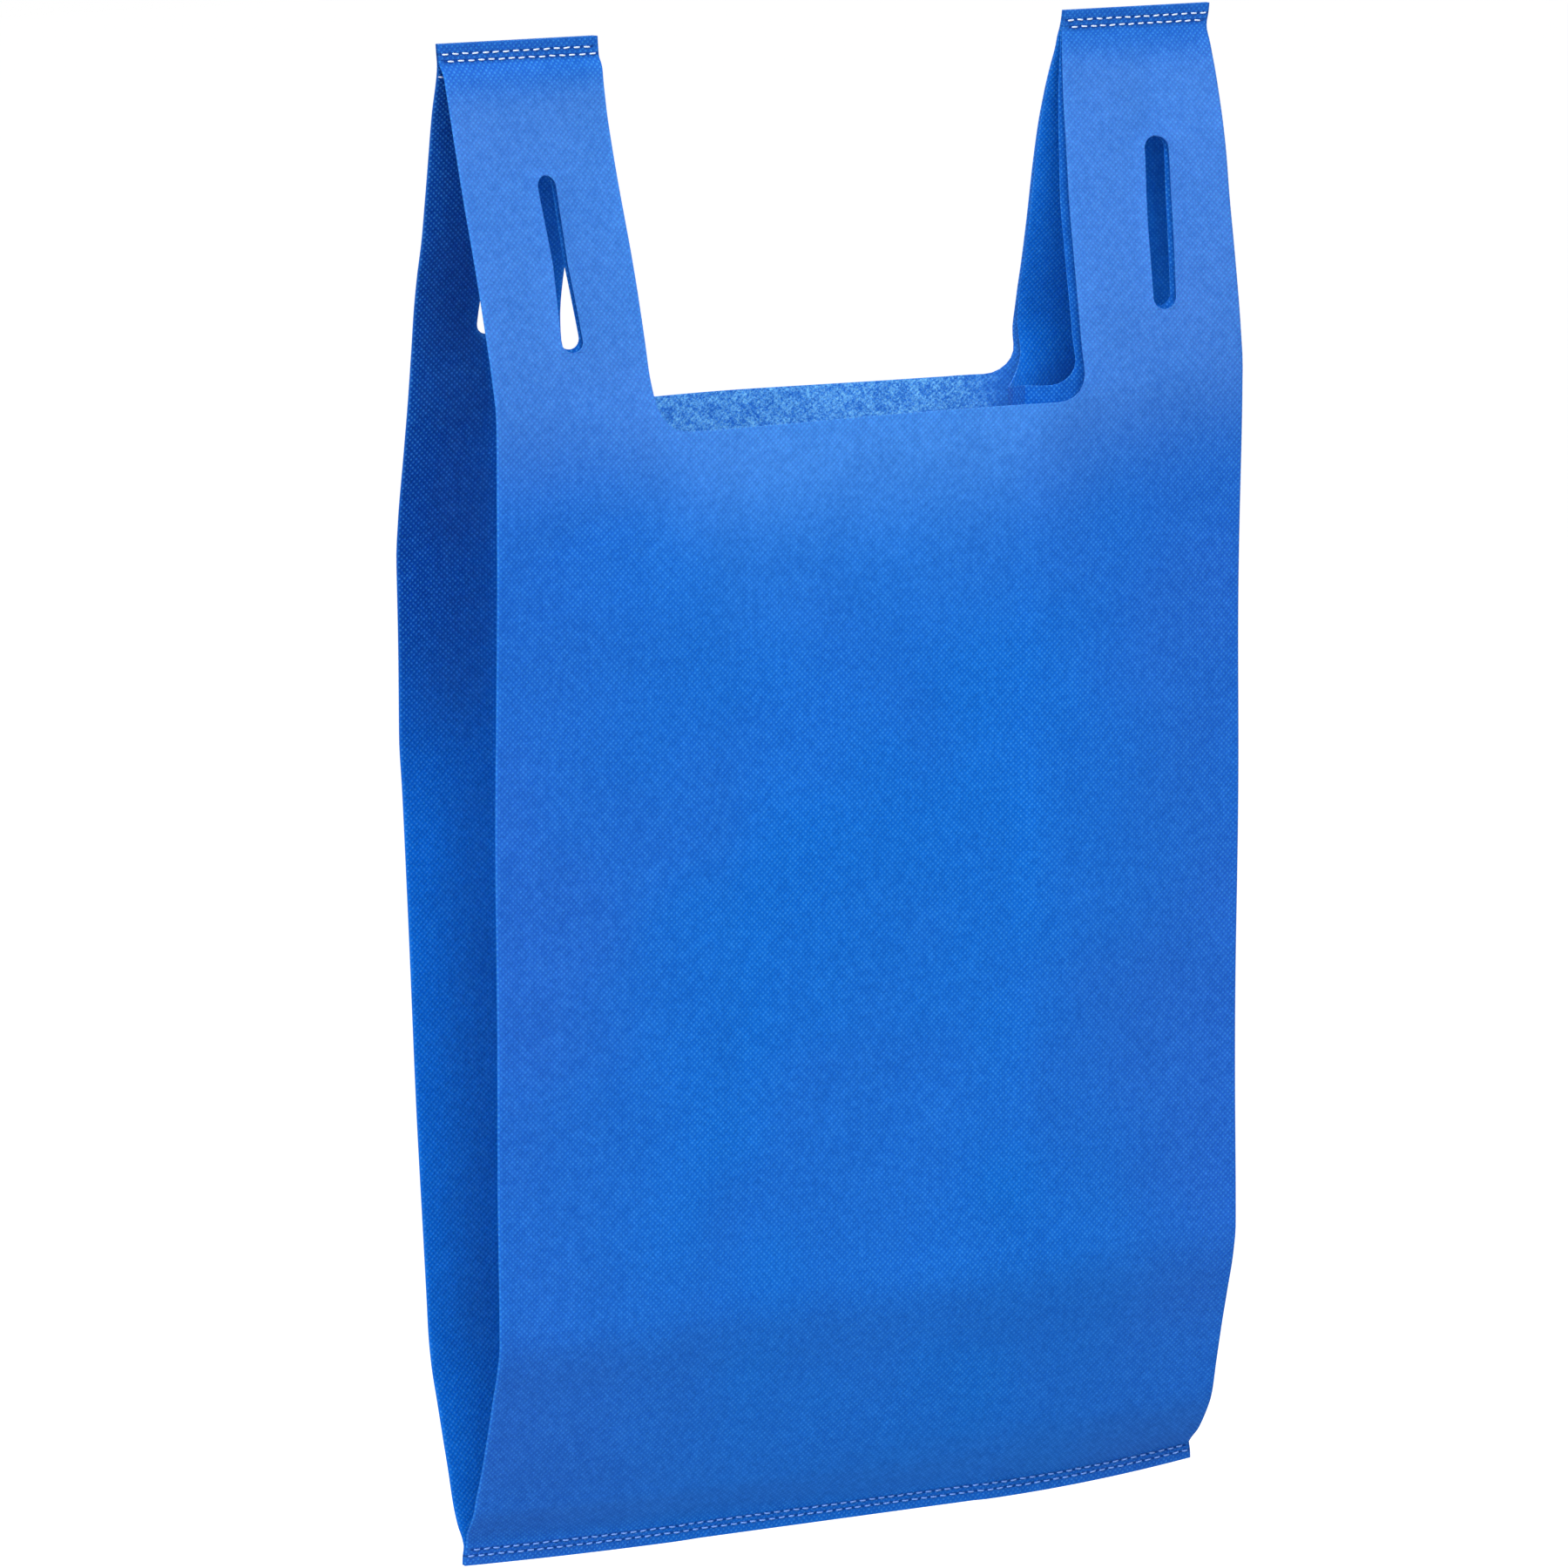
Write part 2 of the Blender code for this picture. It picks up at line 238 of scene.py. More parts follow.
# soft creases of the front panel: start x and height, end x and height, depth, half width
frontCreases = (
    (-0.150, 0.372, -0.092, 0.392, -0.0009, 0.0050),
    (-0.150, 0.350, -0.060, 0.345, 0.0006, 0.0140),
    (0.122, 0.502, 0.123, 0.545, -0.0011, 0.0065),
    (-0.118, 0.430, -0.086, 0.398, 0.0006, 0.0080),
    (0.150, 0.360, 0.080, 0.392, -0.0006, 0.0090),
    (-0.070, 0.010, -0.066, 0.150, -0.0007, 0.0100),
    (0.066, 0.012, 0.070, 0.160, -0.0007, 0.0100),
    (-0.140, 0.092, 0.140, 0.096, 0.0007, 0.0090),
)


# a step from 0 to 1 that starts and ends level: t squared times three less twice t
def eased(t):
    t = np.clip(t, 0, 1)
    return t * t * (3 - 2 * t)


# a bell: e to the minus square of the distance from the centre over the half width
def bell(at, centre, halfWide):
    return np.exp(-(((at - centre) / halfWide) ** 2))


# smooth curve through the knots: a cubic between each pair, its slopes the harmonic mean of the
# neighbouring steps' slopes, so that it never overshoots
def throughKnots(knots, at):
    x, y = np.array(knots, float).T * millimetre
    step = np.diff(x)
    rise = np.diff(y) / step
    both = rise[1:] + rise[:-1]
    mean = 2 * rise[1:] * rise[:-1] / np.where(both == 0, 1, both)
    inner = np.where(rise[1:] * rise[:-1] > 0, mean, 0)
    slope = np.concatenate([[rise[0]], inner, [rise[-1]]])
    i = np.clip(np.searchsorted(x, at) - 1, 0, len(step) - 1)
    t = np.clip((at - x[i]) / step[i], 0, 1)
    start = y[i] * (1 + 2 * t) * (1 - t) ** 2 + slope[i] * step[i] * t * (1 - t) ** 2
    return start + y[i + 1] * t**2 * (3 - 2 * t) + slope[i + 1] * step[i] * t**2 * (t - 1)


# height for a length of fabric: each step of height is longer on the slope of the front folds
def heightTable():
    z = np.linspace(0, standing["height"], 1200)
    mean = (throughKnots(openness[-1, -1], z) + throughKnots(openness[1, -1], z)) / 2
    length = np.concatenate([[0], np.cumsum(np.hypot(np.diff(z), np.diff(mean)))])
    return length * cut["height"] / length[-1], z


lengthSteps, heightSteps = heightTable()


# height over the floor of the fabric at length v
def heightAt(v):
    return np.interp(v, lengthSteps, heightSteps)


# how far the handles spread: a power of the share of the way up from the neck
def leanAt(v):
    up = np.clip((v - neckLevel) / cut["neckDepth"], 0, 1)
    return standing["lean"] * up ** standing["leanPower"]


# the fabric draws in just beyond each seam: a bell over the height beside either seam, the upper
# one flatter on the left
def pinchAt(x, v):
    low, high = 0.0090, cut["height"] - 0.0090
    near = bell(v, low, standing["pinchReach"])
    far = bell(v, high, standing["pinchReach"]) * np.where(x < 0, 0.2, 1.0)
    return standing["pinch"] * (near + far)


# the bottom's corners are drawn up: a square of the way out, fading up the bag
def cornerRise(x, v):
    most = np.where(x < 0, standing["riseLeft"], standing["riseRight"])
    out = np.clip((np.abs(x) - standing["riseFrom"]) / (halfWidth - standing["riseFrom"]), 0, 1)
    return most * out**2 * np.exp(-v / standing["riseFade"])


# middle surface of an outer layer: one and a half layers out where the gusset lies inside
def layerOut(x):
    inner = halfWidth - cut["gussetHalf"]
    return cut["layerPitch"] * (0.5 + eased((np.abs(x) - inner) / cut["layerStep"] + 1))


# a crease: a bell across a straight line, faded towards both of its ends
def creased(x, z):
    total = np.zeros_like(x)
    for x0, z0, x1, z1, depth, width in frontCreases:
        along = np.array([x1 - x0, z1 - z0])
        length = np.hypot(*along)
        along = along / length
        run = (x - x0) * along[0] + (z - z0) * along[1]
        off = (x - x0) * along[1] - (z - z0) * along[0]
        ends = eased(run / (0.3 * length)) * eased((length - run) / (0.3 * length))
        total += depth * bell(off, 0, width) * ends
    return total


# depth of a panel: between its two folds' depths by x, then the bows of the mouth's edge, and
# above the neck the tilt of each strip
def panelDepth(x, z, face):
    t = np.clip((x + halfWidth) / cut["panelWidth"], 0, 1)
    t = (eased(t) + t) / 2
    left, right = (throughKnots(openness[side, face], z) for side in (-1, 1))
    depth = np.clip(left + (right - left) * t - cut["layerPitch"], 0, None)
    hold = 1 - np.clip(np.abs(x) / halfWidth, 0, 1) ** 6
    mouth = eased((z - 0.300) / 0.110) * (1 - eased((z - 0.419) / 0.020))
    for own, centre, width, height in standing["mouthBows"]:
        if own == face:
            depth = depth + height * bell(x, centre, width) * hold * mouth
    across = (halfWidth - np.abs(x)) / 0.065
    for side in (-1, 1):
        mine = np.where(x * side > 0, np.clip(across, 0, 1.05), 0)
        depth = depth + throughKnots(stripTilt[side, face], z) * mine * (z > 0.418)
    if face < 0:
        depth = depth + creased(x, z)
    return np.clip(depth, -0.004 * (z > 0.5), None)


# slow waves: a fixed sum of plane waves in all directions, each with its own phase
def slowWaves(points, seed, shortest, longest, count=9):
    draw = np.random.RandomState(seed)
    total = np.zeros(len(points))
    for _ in range(count):
        way = draw.normal(size=3)
        way /= np.linalg.norm(way)
        length = draw.uniform(shortest, longest)
        total += np.sin(points @ way * (2 * math.pi / length) + draw.uniform(0, 2 * math.pi))
    return total / math.sqrt(count / 2)


# mean cosine and sine of a heading that grows as turn times share to a power, from 0 to share
def bend(turn, power, share, samples=24):
    middles = (np.arange(samples) + 0.5) / samples
    heading = turn[:, None] * (share[:, None] * middles) ** power
    return np.cos(heading).mean(axis=1) * share, np.sin(heading).mean(axis=1) * share


# the turn that makes the half gusset span the given share of its width: found in steps, each
# time scaled by how much the last one fell short
def turnFor(ratio, power):
    turn = ratio * (power + 1)
    one = np.ones_like(ratio)
    for _ in range(14):
        reached = bend(turn, power, one)[1]
        turn = np.clip(turn * (ratio / np.maximum(reached, 1e-9)) ** 0.9, 1e-6, math.radians(118))
    return turn


# the slot's halves are pushed apart from its centre line: a straight slit in the pattern opens
# to its width, rounded at both ends, and the columns beside it close up less and less
def slotHalf(v, side):
    radius = cut["slotEnd"]
    end = np.clip(np.minimum(v - slotBottom, slotTop - v), 0, radius)
    middle = (slotBottom + slotTop) / 2
    width = np.interp(v, (slotBottom, middle, slotTop), cut["slotWidths"][side])
    return width / 2 * np.sqrt(np.clip(1 - (1 - end / radius) ** 2, 0, 1))


# a point of a panel: narrower at the seams and spread in the handles, out by its depth and its
# layers, up by the height of its length, with the corners drawn up and the back's edge higher
def panelPlace(x, v, face):
    z = heightAt(v)
    out = panelDepth(x, z, face) + layerOut(x)
    across = x * (1 - pinchAt(x, v) / halfWidth)
    across = across + np.sign(x) * leanAt(v) * np.clip(np.abs(x) / 0.085, 0, 1)
    lift = cornerRise(x, v)
    if face > 0:
        mouth = eased((v - 0.33) / 0.09)
        toRight = np.clip((x + 0.05) / 0.12, 0, 1)
        lift = lift + standing["backHigher"] * mouth + standing["backHigherRight"] * toRight * mouth
        above = eased((v - neckLevel) / 0.03)
        lift = lift * (1 - above) + cornerRise(x, v) * above
    return np.stack([across, face * out, z + lift], axis=1)


# where the gusset's crease runs: between the folds, on the right pulled towards the front
def creaseLine(z, side):
    front = -throughKnots(openness[side, -1], z)
    back = throughKnots(openness[side, 1], z)
    forward = standing["creaseForward"][side] * eased(z / 0.35) * (1 - eased((z - 0.44) / 0.10))
    return (front + back) / 2 - forward


# a point of the quarter tube: panel, then half a circle round the side fold, then the half
# gusset, whose heading grows towards its crease; in the handles its strip hangs just inside
def quarterPlace(s, v, side, face):
    panel = panelPlace(side * np.minimum(s, foldIn), v, face)
    z = heightAt(v)
    edge = np.full_like(s, side * foldIn)
    own = face * (panelDepth(edge, z, face) + cut["layerPitch"] / 2)
    facing = -face * (panelDepth(edge, z, -face) + cut["layerPitch"] / 2)
    crease = creaseLine(z, side)
    ratio, facingRatio = (
        np.clip(np.abs(fold - crease) / cut["gussetHalf"], 1e-5, standing["mostSpan"])
        for fold in (own, facing)
    )
    power, facingPower = standing["creasePower"][side, face], standing["creasePower"][side, -face]
    turn, facingTurn = turnFor(ratio, power), turnFor(facingRatio, facingPower)
    share = np.clip((s - foldOut) / (quarterWidth - foldOut), 0, 1)
    one = np.ones_like(share)
    run, drop = bend(turn, power, share)
    fullRun, fullDrop = bend(turn, power, one)
    meet = (fullRun + bend(facingTurn, facingPower, one)[0]) / 2
    blunt = eased((z - standing["bluntFrom"]) / standing["bluntRise"]) * (side > 0)
    meet = meet * (1 - blunt) + standing["noseReach"] * blunt
    run = run * (1 + (meet / fullRun - 1) * share**2)
    sunk = np.where(ratio > 2e-3, drop / fullDrop, share ** (power + 1))
    gap = cut["layerPitch"] / 2 * np.clip((quarterWidth - s) / 0.0012, 0, 1)
    reach = np.clip(np.abs(own - crease) - gap, 0, None)
    inward = reach * sunk
    lift = share**1.2
    strip = (s - foldOut) / cut["stripWidth"][side, face]
    hang = eased((v - neckLevel + standing["hangStart"]) / standing["hangRise"])
    hang = hang * (1 - eased((strip - 1) / standing["hangFade"]))
    close = hang
    if side > 0 and face > 0:
        nose, flat = standing["noseShare"], standing["flatShare"]
        first, last = np.clip(share / nose, 0, 1), np.clip((share - nose) / (1 - nose), 0, 1)
        off = np.clip((share - flat) / (nose - flat), 0, 1) ** 1.2
        straight = (reach - standing["noseDepth"]) * off + standing["noseDepth"] * last
        inward = inward * (1 - blunt) + straight * blunt
        run = run * (1 - blunt) + meet * first * blunt
        dip, centre, halfWide = standing["noseDip"]
        lift = lift * (1 + dip * bell(share, centre, halfWide) * blunt)
        close = np.maximum(hang, blunt * (1 - eased((share - flat) / standing["flatFade"])))
    elif side > 0:
        swell, centre, halfWide = standing["frontSwell"]
        lift = lift + swell * bell(share, centre, halfWide) * blunt
    run = run * (1 - hang) + share * 0.999 * hang
    gussetX = foldIn - (quarterWidth - foldOut) * run
    beside = face * (panelDepth(side * gussetX, z, face) + layerOut(gussetX) - cut["layerPitch"])
    low, high = standing["stripGap"][side, face]
    upStrip = eased((v - neckLevel - standing["gapFrom"]) / standing["gapRise"])
    gapAt = low + (high - low) * upStrip
    parted = np.clip(np.abs(own - facing) / standing["gapFull"], 0, 1)
    hung = gapAt * np.clip(strip, 0, 1.3) ** 0.75 * parted
    base = own * (1 - close) + beside * close
    inward = inward * (1 - hang) + hung * hang
    lift = standing["creaseLift"] * lift * eased(v / 0.11) * (1 - eased((v - neckLevel) / 0.08))
    around = np.clip((s - foldIn) / (foldOut - foldIn), 0, 1) * math.pi
    foldX = foldIn + foldRadius * np.sin(around)
    foldY = own + face * foldRadius * (1 + np.cos(around))
    x = np.where(s < foldOut, foldX, gussetX)
    y = np.where(s < foldOut, foldY, base - face * inward)
    pinched = 1 - pinchAt(side * x, v) / halfWidth
    rise = cornerRise(side * x, v) + np.where(s < foldOut, 0, lift)
    folded = np.stack([side * (x * pinched + leanAt(v)), y, z + rise], axis=1)
    return np.where((s <= foldIn)[:, None], panel, folded)


# the whole sheet moves with one slow field, so that layers keep their distance
def waved(points):
    calm = eased(points[:, 2] / 0.05) * eased((0.553 - points[:, 2]) / 0.05)
    moved = points.copy()
    moved[:, 1] += standing["wave"] * calm * slowWaves(points, 11, 0.10, 0.26)
    moved[:, 0] += 0.4 * standing["wave"] * calm * slowWaves(points, 12, 0.12, 0.30)
    moved[:, 2] += 0.25 * standing["wave"] * calm * slowWaves(points, 13, 0.12, 0.30)
    return moved


# the stops with even steps between them, none longer than the longest
def divided(stops, longest):
    line = [stops[0]]
    for start, end in zip(stops[:-1], stops[1:]):
        line += list(np.linspace(start, end, max(1, math.ceil((end - start) / longest)) + 1)[1:])
    return np.array(line)


# rows up the sheet: close at the seams, at the slots' round ends and at the neck's corner
def sheetRows():
    seam = np.array([0, 1.2, 2.4, 3.6, 4.8, 5.9, 7.0, 8.2]) * millimetre
    low = divided([seam[-1], 0.032], 0.0022)
    flare = divided([0.032, 0.115], 0.0040)
    body = divided([0.115, belowNeck, cornerTop], 0.0050)
    handle = divided([cornerTop, slotBottom], 0.0036)
    radius = cut["slotEnd"]
    ends = radius * (1 - np.cos(np.linspace(0, math.pi / 2, 8)))
    middle = divided([slotBottom + radius, slotTop - radius], 0.0047)
    above = divided([slotTop, belowSeam], 0.0040)
    near = divided([belowSeam, cut["height"] - seam[-1]], 0.0022)
    lower = [seam, low, flare, body, handle, slotBottom + ends, middle]
    upper = [slotTop - ends[::-1], above, near, cut["height"] - seam]
    return np.unique(np.round(np.concatenate(lower + upper), 8))


# columns of a quarter from the panel's centre to the gusset's crease; those of the strip come
# again in mirror order beyond the fold, and each slot's centre column is doubled
def sheetColumns(side, face):
    neckEdge = halfWidth - cut["stripWidth"][side, face]
    start = neckEdge - cut["neckCorner"]
    slot = halfWidth - cut["slotFromFold"][side]
    corner = start + cut["neckCorner"] * np.sin(np.linspace(0, math.pi / 2, 7))
    near = np.concatenate(
        [corner[:-1], divided([neckEdge, slot], 0.0041), divided([slot, foldIn - 0.0011], 0.0041)]
    )
    panel = np.concatenate([divided([0, start], 0.0052)[:-1], near])
    rest = divided([cut["panelWidth"] - start, quarterWidth - 0.0036], 0.0040)[1:]
    crease = quarterWidth - np.array([0.0018, 0.0008, 0])
    fold = np.linspace(foldIn, foldOut, 6)
    parts = [panel, fold, cut["panelWidth"] - near[::-1], rest, crease]
    return np.concatenate(parts), neckEdge, slot


# pattern of one quarter: a grid of rows and columns, its rows bent below the neck so that the
# last of them follows the rounded corner, with the faces of the neck and the slits left out
def quarterPattern(side, face):
    columns, neckEdge, slot = sheetColumns(side, face)
    rows = sheetRows()
    fromFold = np.abs(columns - halfWidth)
    mirrored = halfWidth - fromFold
    radius = cut["neckCorner"]
    intoCorner = np.clip(mirrored - (neckEdge - radius), 0, radius)
    top = neckLevel + radius - np.sqrt(radius**2 - intoCorner**2)
    scale = (top - belowNeck) / (cornerTop - belowNeck)
    bent = belowNeck + (rows[:, None] - belowNeck) * scale[None, :]
    v = np.where((rows > belowNeck)[:, None] & (rows < cornerTop + 1e-7)[:, None], bent, rows[:, None])
    above = eased((rows - cornerTop) / (slotBottom - cornerTop - 0.002))
    above = above * (1 - eased((rows - slotTop - 0.002) / (belowSeam - slotTop)))
    v = v + cut["slotRaise"][side, face] * above[:, None]
    s = np.repeat(columns[None, :], len(rows), axis=0)
    slits = np.flatnonzero(np.diff(columns) == 0)
    half = slotHalf(rows, side)[:, None]
    stops = (cornerTop, slotBottom, slotTop, belowSeam)
    skew = np.interp(rows, stops, (0.0,) + cut["slotSkew"][side, face] + (0.0,))[:, None]
    for slit in slits:
        centre = columns[slit]
        away = np.where(np.arange(len(columns)) > slit, 1, -1)
        near = np.clip(1 - np.abs(columns - centre) / cut["slotWarp"], 0, None)[None, :]
        s = s + (away * half + skew * np.sign(halfWidth - centre)) * near
    narrow = throughKnots(cut["stripTaper"][side], rows)[:, None]
    inStrip = np.clip((slot - mirrored) / (slot - neckEdge), 0, 1) * (mirrored > neckEdge - 1e-6)
    s = s + np.where(columns < halfWidth, 1, -1)[None, :] * narrow * inStrip[None, :]
    neckRow = int(np.argmin(np.abs(rows - cornerTop)))
    inNeck = mirrored < neckEdge - 1e-6
    keep = np.ones((len(rows) - 1, len(columns) - 1), bool)
    keep[neckRow:, :] &= ~(inNeck[1:] | inNeck[:-1])[None, :]
    keep[:, slits] = False
    lip = np.zeros_like(s)
    for slit in slits[:1]:
        off = np.abs(s - columns[slit] - skew) - half
        lip += cut["slotLip"] * np.exp(-np.clip(off, 0, None) / cut["slotLipReach"]) * (half > 0)
    return s, v, keep, lip


# UV of the sheet: how far round the tube and up it, and how far from the nearest side fold
def patternUv(s, v, side, face):
    around = side * s if face < 0 else backMiddle - side * s
    return np.stack([around, v], -1), np.stack([np.abs(s - halfWidth), v], -1)


# a mesh from arrays of points and four-cornered faces, with named UV maps by point
def meshFrom(name, points, quads, uvs=None):
    mesh = bpy.data.meshes.new(name)
    mesh.vertices.add(len(points))
    mesh.vertices.foreach_set("co", np.ascontiguousarray(points, np.float32).ravel())
    mesh.loops.add(quads.size)
    mesh.loops.foreach_set("vertex_index", np.ascontiguousarray(quads, np.int32).ravel())
    mesh.polygons.add(len(quads))
    mesh.polygons.foreach_set("loop_start", np.arange(0, quads.size, 4, dtype=np.int32))
    mesh.update(calc_edges=True)
    for layer, values in (uvs or {}).items():
        own = mesh.uv_layers.new(name=layer)
        own.data.foreach_set("uv", np.ascontiguousarray(values[quads.ravel()], np.float32).ravel())
    mesh.validate()
    return mesh


# faces of a grid of points, only those kept, turned round if asked
def gridQuads(rows, columns, keep, flip):
    index = np.arange(rows * columns).reshape(rows, columns)
    quads = np.stack([index[:-1, :-1], index[:-1, 1:], index[1:, 1:], index[1:, :-1]], -1)[keep]
    return quads[:, ::-1] if flip else quads


# an object of its own for a mesh
def asPiece(name, mesh):
    piece = bpy.data.objects.new(name, mesh)
    scene.collection.objects.link(piece)
    return piece


# a socket's value in a material: arithmetic on it adds Math nodes, node() adds any other node
class Value:
    def __init__(self, tree, out):
        self.tree, self.out = tree, out

    def node(self, kind, settings=None, sockets=None, output=0):
        made = self.tree.nodes.new(kind)
        for key, value in (settings or {}).items():
            setattr(made, key, value)
        for key, value in (sockets or {}).items():
            if isinstance(value, Value):
                self.tree.links.new(value.out, made.inputs[key])
            else:
                made.inputs[key].default_value = value
        return Value(self.tree, made.outputs[output] if made.outputs else None)

    def calc(self, operation, first, second=0.0):
        return self.node("ShaderNodeMath", {"operation": operation}, {0: first, 1: second})

    def __add__(self, other):
        return self.calc("ADD", self, other)

    def __radd__(self, other):
        return self.calc("ADD", other, self)

    def __sub__(self, other):
        return self.calc("SUBTRACT", self, other)

    def __rsub__(self, other):
        return self.calc("SUBTRACT", other, self)

    def __mul__(self, other):
        return self.calc("MULTIPLY", self, other)

    def __rmul__(self, other):
        return self.calc("MULTIPLY", other, self)

    def __truediv__(self, other):
        return self.calc("DIVIDE", self, other)

    def __rtruediv__(self, other):
        return self.calc("DIVIDE", other, self)

    def cosine(self):
        return self.calc("COSINE", self)

    def size(self):
        return self.calc("ABSOLUTE", self)

    # 0 below low, 1 above high, eased between
    def between(self, low, high):
        span = {"From Min": low, "From Max": high, "Value": self}
        return self.node("ShaderNodeMapRange", {"interpolation_type": "SMOOTHSTEP"}, span)

    # the colour one at 0 and the colour two at 1
    def colours(self, one, two):
        return self.node("ShaderNodeMix", {"data_type": "RGBA"}, {0: self, 6: one, 7: two}, 2)


# a screen colour in steps of 255 as linear light
def linear(*screen):
    shares = [c / 255 for c in screen]
    return tuple(c / 12.92 if c <= 0.04045 else ((c + 0.055) / 1.055) ** 2.4 for c in shares) + (1.0,)


# an empty material, and the value from which its nodes are made
def newMaterial(name, shown):
    material = bpy.data.materials.new(name)
    material.use_nodes = True
    material.diffuse_color = shown
    material.node_tree.nodes.clear()
    return material, Value(material.node_tree, None)


# noise from 0 to 1 about a half, as many lumps to the metre as the scale says
def noise(root, place, scale, detail, roughness):
    sockets = {"Vector": place, "Scale": scale, "Detail": detail, "Roughness": roughness}
    return root.node("ShaderNodeTexNoise", {"noise_dimensions": "3D"}, sockets)


# a colour with each channel scaled by the tint's
def times(root, colour, tint):
    settings = {"data_type": "RGBA", "blend_type": "MULTIPLY"}
    return root.node("ShaderNodeMix", settings, {0: 1.0, 6: colour, 7: tint}, 2)


# the sewing thread: rows of lock stitches, each one a short arc that dives into the fabric
thread = {
    "pitch": 0.0040,
    "shown": 0.0028,
    "radius": 0.00031,
    "white": linear(226, 236, 252),
    "blue": linear(128, 172, 242),
    "bottomRows": (0.0036, 0.0059),
    "topRows": (0.0037, 0.0063),
    "legRow": {-1: 0.0125, 1: 0.0110},
    "legShift": 0.2,
    "rowReach": 0.1522,
    "rowInset": 0.0008,
    "endRoom": 0.0009,
    "unevenAlong": 0.00012,
    "unevenUp": 0.00008,
    "slant": 0.00016,
    "stations": 7,
    "sides": 6,
}


# spunbonded fabric: bonding points in a diamond lattice, fibres, soft clouds of thickness, and
# light that comes through from behind
weave = {
    "pointPitch": 0.0021,
    "fibreScale": 1500.0,
    "coarseScale": 420.0,
    "cloudScale": 34.0,
    "broadScale": 9.0,
    "foldBlend": 0.0008,
    "azure": linear(4, 106, 207),
    # painted sheen: the purple blue that the panels take towards their sides
    "paintedSheenViolet": linear(33, 100, 202),
    "gusset": linear(0, 108, 214),
    # painted shade: the darker gusset tone, and how much of it on the outside and on the inside
    "paintedShade": linear(0, 44, 132),
    "paintedShadeLeft": 0.75,
    "paintedShadeInside": 0.40,
    "point": linear(74, 170, 242),
    "pointShare": 0.44,
    "pointMore": 0.10,
    # painted light: the paler tone of the panels towards the mouth and on the handles, and its share
    "paintedLight": linear(128, 172, 218),
    "paintedLightShare": 0.21,
    # painted light: the pale tone inside the back panel near the mouth
    "paintedGlow": linear(134, 210, 242),
    # painted shade in the needle's punctures by the stitches, and its share
    "holeShadow": linear(4, 40, 118),
    "holeShadowShare": 0.68,
    # painted shade: how much darker the bands beyond the top and bottom seams are
    "topBandShade": (0.62, 0.72, 0.78, 1),
    "bottomBandShade": (1.05, 0.78, 0.84, 1),
    "darkSpeck": (0.66, 0.76, 0.82, 1),
    "paleSpeck": (1.30, 1.15, 1.08, 1),
    "through": linear(140, 206, 247),
    "throughShare": 0.25,
    "throughSpeck": 0.10,
    "relief": 0.00024,
}
